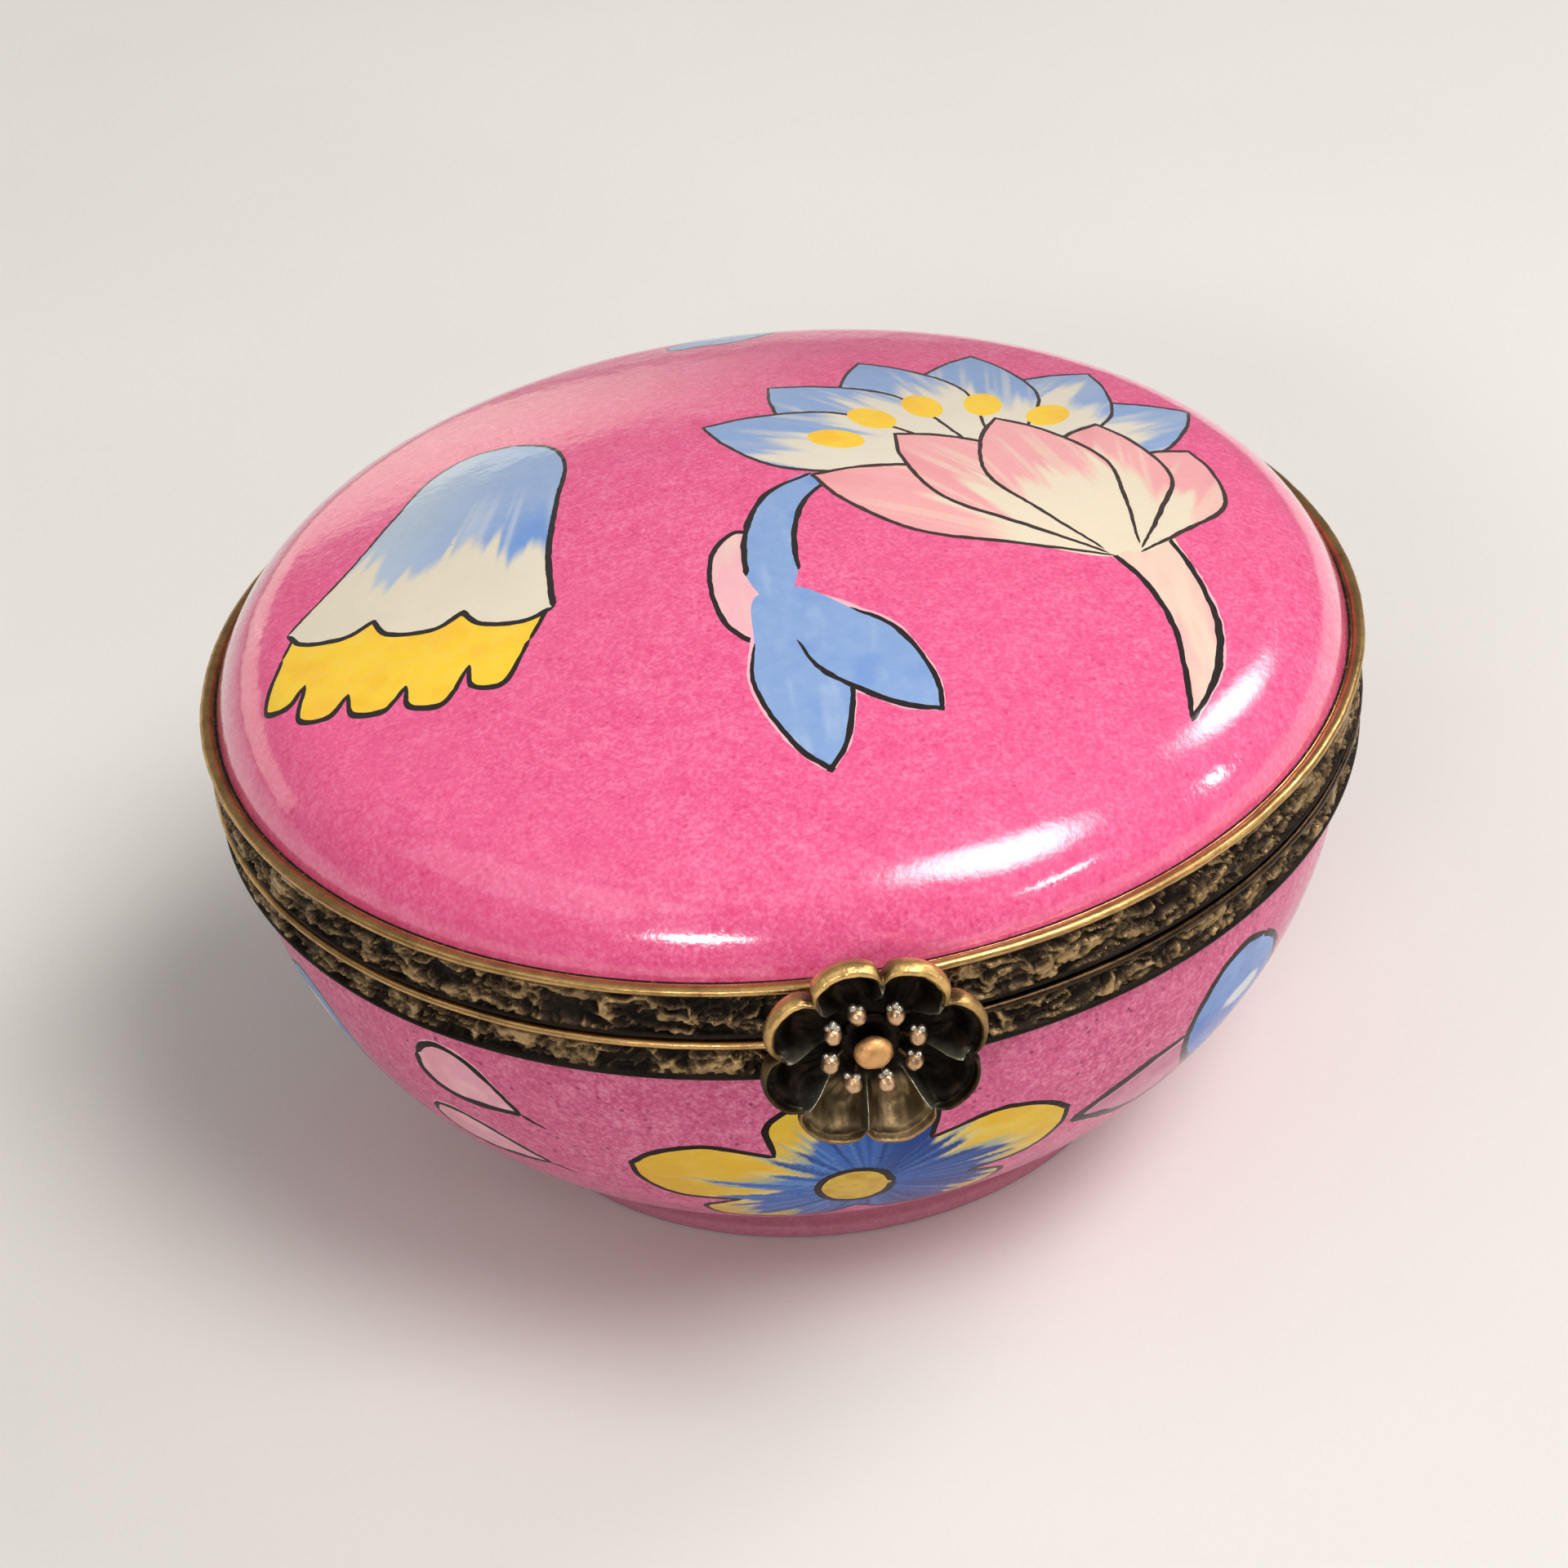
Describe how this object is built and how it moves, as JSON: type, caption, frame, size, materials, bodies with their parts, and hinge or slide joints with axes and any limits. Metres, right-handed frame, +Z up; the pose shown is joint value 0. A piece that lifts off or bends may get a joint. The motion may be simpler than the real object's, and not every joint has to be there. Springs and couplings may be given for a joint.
{
  "type": "pill box",
  "caption": "Round porcelain trinket box on a low foot: domed lid hinged at the back, brass mounts, flower clasp on a spring tongue, hand-painted flowers.",
  "frame": {"origin": "centre of the resting plane of the foot ring, on the axis of the round box", "axes": "+Z up along the axis of the round box; the flower clasp faces -Y and the hinge is at +Y"},
  "size_m": [0.056, 0.0606, 0.0314],
  "materials": {
    "base_porcelain": "glossy",
    "lid_porcelain": "glossy",
    "cement": "matte",
    "antique_brass": "antiqued",
    "polished_brass": "satin",
    "flower_brass": "antiqued"
  },
  "bodies": {
    "base": {"base_shell": "base_porcelain", "base_bedding": "cement", "base_mount": "antique_brass", "base_hinge_leaf": "antique_brass", "hinge_pin": "polished_brass", "catch_nub": "polished_brass"},
    "lid": {"lid_shell": "lid_porcelain", "lid_bedding": "cement", "lid_mount": "antique_brass", "lid_hinge_leaf": "antique_brass", "clasp_bracket": "antique_brass"},
    "clasp": {"clasp_tongue": "polished_brass", "clasp_petals": "flower_brass", "clasp_bead_crown": "polished_brass", "clasp_rivet": "polished_brass"}
  },
  "joints": [
    {"name": "lid_hinge", "type": "hinge", "parent": "base", "child": "lid", "pos_m": [0, 0.029, 0.0215], "axis": [-1, 0, 0], "range_deg": [0, 95]},
    {"name": "clasp_flex", "type": "hinge", "parent": "lid", "child": "clasp", "pos_m": [0, -0.0284, 0.0235], "axis": [-1, 0, 0], "range_deg": [0, 6], "stiffness_Nm_per_rad": 0.02}
  ]
}
